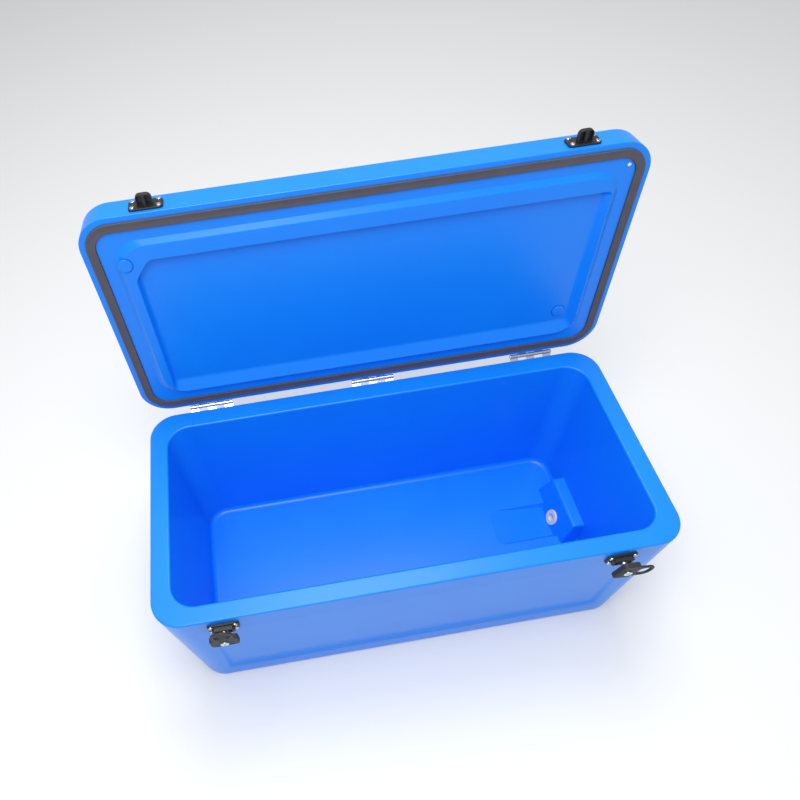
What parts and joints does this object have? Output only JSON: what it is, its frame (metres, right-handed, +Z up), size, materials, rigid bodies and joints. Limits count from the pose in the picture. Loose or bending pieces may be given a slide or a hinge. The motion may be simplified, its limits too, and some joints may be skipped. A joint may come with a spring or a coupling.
{
  "type": "icebox",
  "caption": "Long foam-insulated moulded plastic icebox with a thick hinged lid, rubber strap latches and a drain bung at one end.",
  "frame": {"origin": "centre of the flat base that the box stands on", "axes": "+X along the long side, towards the drain end; +Y to the back, where the hinges are; +Z up; the latches face -Y"},
  "size_m": [1.0109, 0.6031, 0.9034],
  "materials": {
    "moulded_blue": "satin",
    "foam_core": "matte",
    "black_nylon": "satin",
    "latch_rubber": "matte",
    "seal_rubber": "matte",
    "stainless_steel": "satin",
    "white_plastic": "satin"
  },
  "bodies": {
    "body": {"body_shell": "moulded_blue", "body_foam": "foam_core", "body_fill_plug_left": "moulded_blue", "body_fill_plug_right": "moulded_blue", "drain_tube": "white_plastic", "drain_socket": "black_nylon", "hinge_left_body_leaf": "stainless_steel", "hinge_left_pin": "stainless_steel", "hinge_left_body_screw_1": "stainless_steel", "hinge_left_body_screw_2": "stainless_steel", "hinge_middle_body_leaf": "stainless_steel", "hinge_middle_pin": "stainless_steel", "hinge_middle_body_screw_1": "stainless_steel", "hinge_middle_body_screw_2": "stainless_steel", "hinge_right_body_leaf": "stainless_steel", "hinge_right_pin": "stainless_steel", "hinge_right_body_screw_1": "stainless_steel", "hinge_right_body_screw_2": "stainless_steel", "latch_left_base": "black_nylon", "latch_left_post": "stainless_steel", "latch_left_screw_1": "stainless_steel", "latch_left_screw_2": "stainless_steel", "latch_left_screw_3": "stainless_steel", "latch_left_screw_4": "stainless_steel", "latch_right_base": "black_nylon", "latch_right_post": "stainless_steel", "latch_right_screw_1": "stainless_steel", "latch_right_screw_2": "stainless_steel", "latch_right_screw_3": "stainless_steel", "latch_right_screw_4": "stainless_steel"},
    "lid": {"lid_shell": "moulded_blue", "lid_foam": "foam_core", "lid_fill_plug_left": "moulded_blue", "lid_fill_plug_right": "moulded_blue", "lid_vent_plug": "white_plastic", "lid_seal": "seal_rubber", "hinge_left_lid_leaf": "stainless_steel", "hinge_left_lid_screw_1": "stainless_steel", "hinge_left_lid_screw_2": "stainless_steel", "hinge_middle_lid_leaf": "stainless_steel", "hinge_middle_lid_screw_1": "stainless_steel", "hinge_middle_lid_screw_2": "stainless_steel", "hinge_right_lid_leaf": "stainless_steel", "hinge_right_lid_screw_1": "stainless_steel", "hinge_right_lid_screw_2": "stainless_steel", "keeper_left": "black_nylon", "keeper_left_screw_1": "stainless_steel", "keeper_left_screw_2": "stainless_steel", "keeper_left_screw_3": "stainless_steel", "keeper_left_screw_4": "stainless_steel", "keeper_right": "black_nylon", "keeper_right_screw_1": "stainless_steel", "keeper_right_screw_2": "stainless_steel", "keeper_right_screw_3": "stainless_steel", "keeper_right_screw_4": "stainless_steel"},
    "bung": {"drain_bung": "black_nylon"},
    "left_strap": {"latch_left_strap": "latch_rubber"},
    "right_strap": {"latch_right_strap": "latch_rubber"}
  },
  "joints": [
    {"name": "lid_hinge", "type": "hinge", "parent": "body", "child": "lid", "pos_m": [0, 0.248, 0.3898], "axis": [1, 0, 0], "range_deg": [0, 93.04]},
    {"name": "left_strap_swivel", "type": "hinge", "parent": "body", "child": "left_strap", "pos_m": [-0.374, -0.2383, 0.354], "axis": [0, -0.9986, -0.0529], "range_deg": [-90, 90]},
    {"name": "right_strap_swivel", "type": "hinge", "parent": "body", "child": "right_strap", "pos_m": [0.374, -0.2383, 0.354], "axis": [0, -0.9986, -0.0529], "range_deg": [-78, 102]},
    {"name": "bung_pull", "type": "slide", "parent": "body", "child": "bung", "axis": [1, 0, 0], "range_m": [0, 0.035]}
  ]
}
